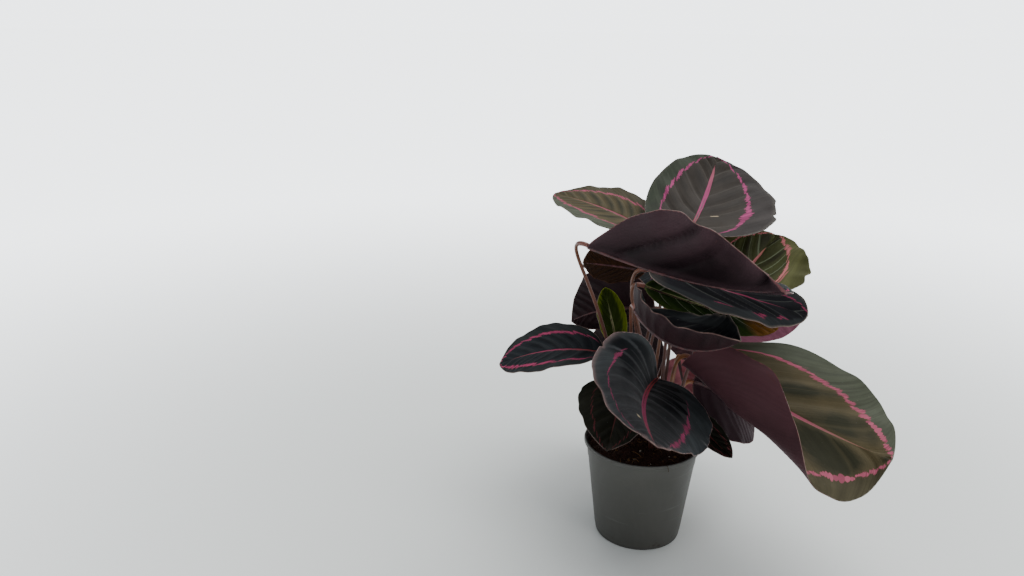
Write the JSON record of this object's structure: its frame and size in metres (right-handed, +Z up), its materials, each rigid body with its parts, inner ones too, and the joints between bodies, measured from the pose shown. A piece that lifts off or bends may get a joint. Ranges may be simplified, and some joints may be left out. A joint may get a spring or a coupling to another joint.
{
  "type": "potted foliage plant",
  "caption": "Potted prayer plant with broad dark leaves, each with a feathered pink ring and midrib, purple undersides and thin stalks in a plain tapered nursery pot.",
  "frame": {"origin": "middle of the flat underside of the pot, at the surface that the pot stands on", "axes": "+Z up; -Y towards the viewer of the picture; +X to the viewer's right"},
  "size_m": [0.3705, 0.426, 0.3783],
  "materials": {
    "pot_plastic": "matte grey-green moulded plastic",
    "peat": "damp crumbly peat with pale specks and fibres",
    "leaf": "satin dark green top with pink midrib and feathered pink ring, wine-purple underside",
    "stalk": "satin reddish brown"
  },
  "bodies": {
    "root": {"pot": "pot_plastic", "soil": "peat", "leaf_a": "leaf", "stalk_a": "stalk", "leaf_b": "leaf", "stalk_b": "stalk", "leaf_c": "leaf", "stalk_c": "stalk", "leaf_d": "leaf", "stalk_d": "stalk", "leaf_e": "leaf", "stalk_e": "stalk", "leaf_f": "leaf", "stalk_f": "stalk", "leaf_g": "leaf", "stalk_g": "stalk", "leaf_h": "leaf", "stalk_h": "stalk", "leaf_i": "leaf", "stalk_i": "stalk", "leaf_j": "leaf", "stalk_j": "stalk", "leaf_k": "leaf", "stalk_k": "stalk", "leaf_l": "leaf", "stalk_l": "stalk", "leaf_m": "leaf", "stalk_m": "stalk", "leaf_n": "leaf", "stalk_n": "stalk", "leaf_o": "leaf", "stalk_o": "stalk", "leaf_p": "leaf", "stalk_p": "stalk", "leaf_q": "leaf", "stalk_q": "stalk", "leaf_r": "leaf", "stalk_r": "stalk", "leaf_s": "leaf", "stalk_s": "stalk", "leaf_t": "leaf", "stalk_t": "stalk", "leaf_u": "leaf", "stalk_u": "stalk"}
  },
  "joints": []
}
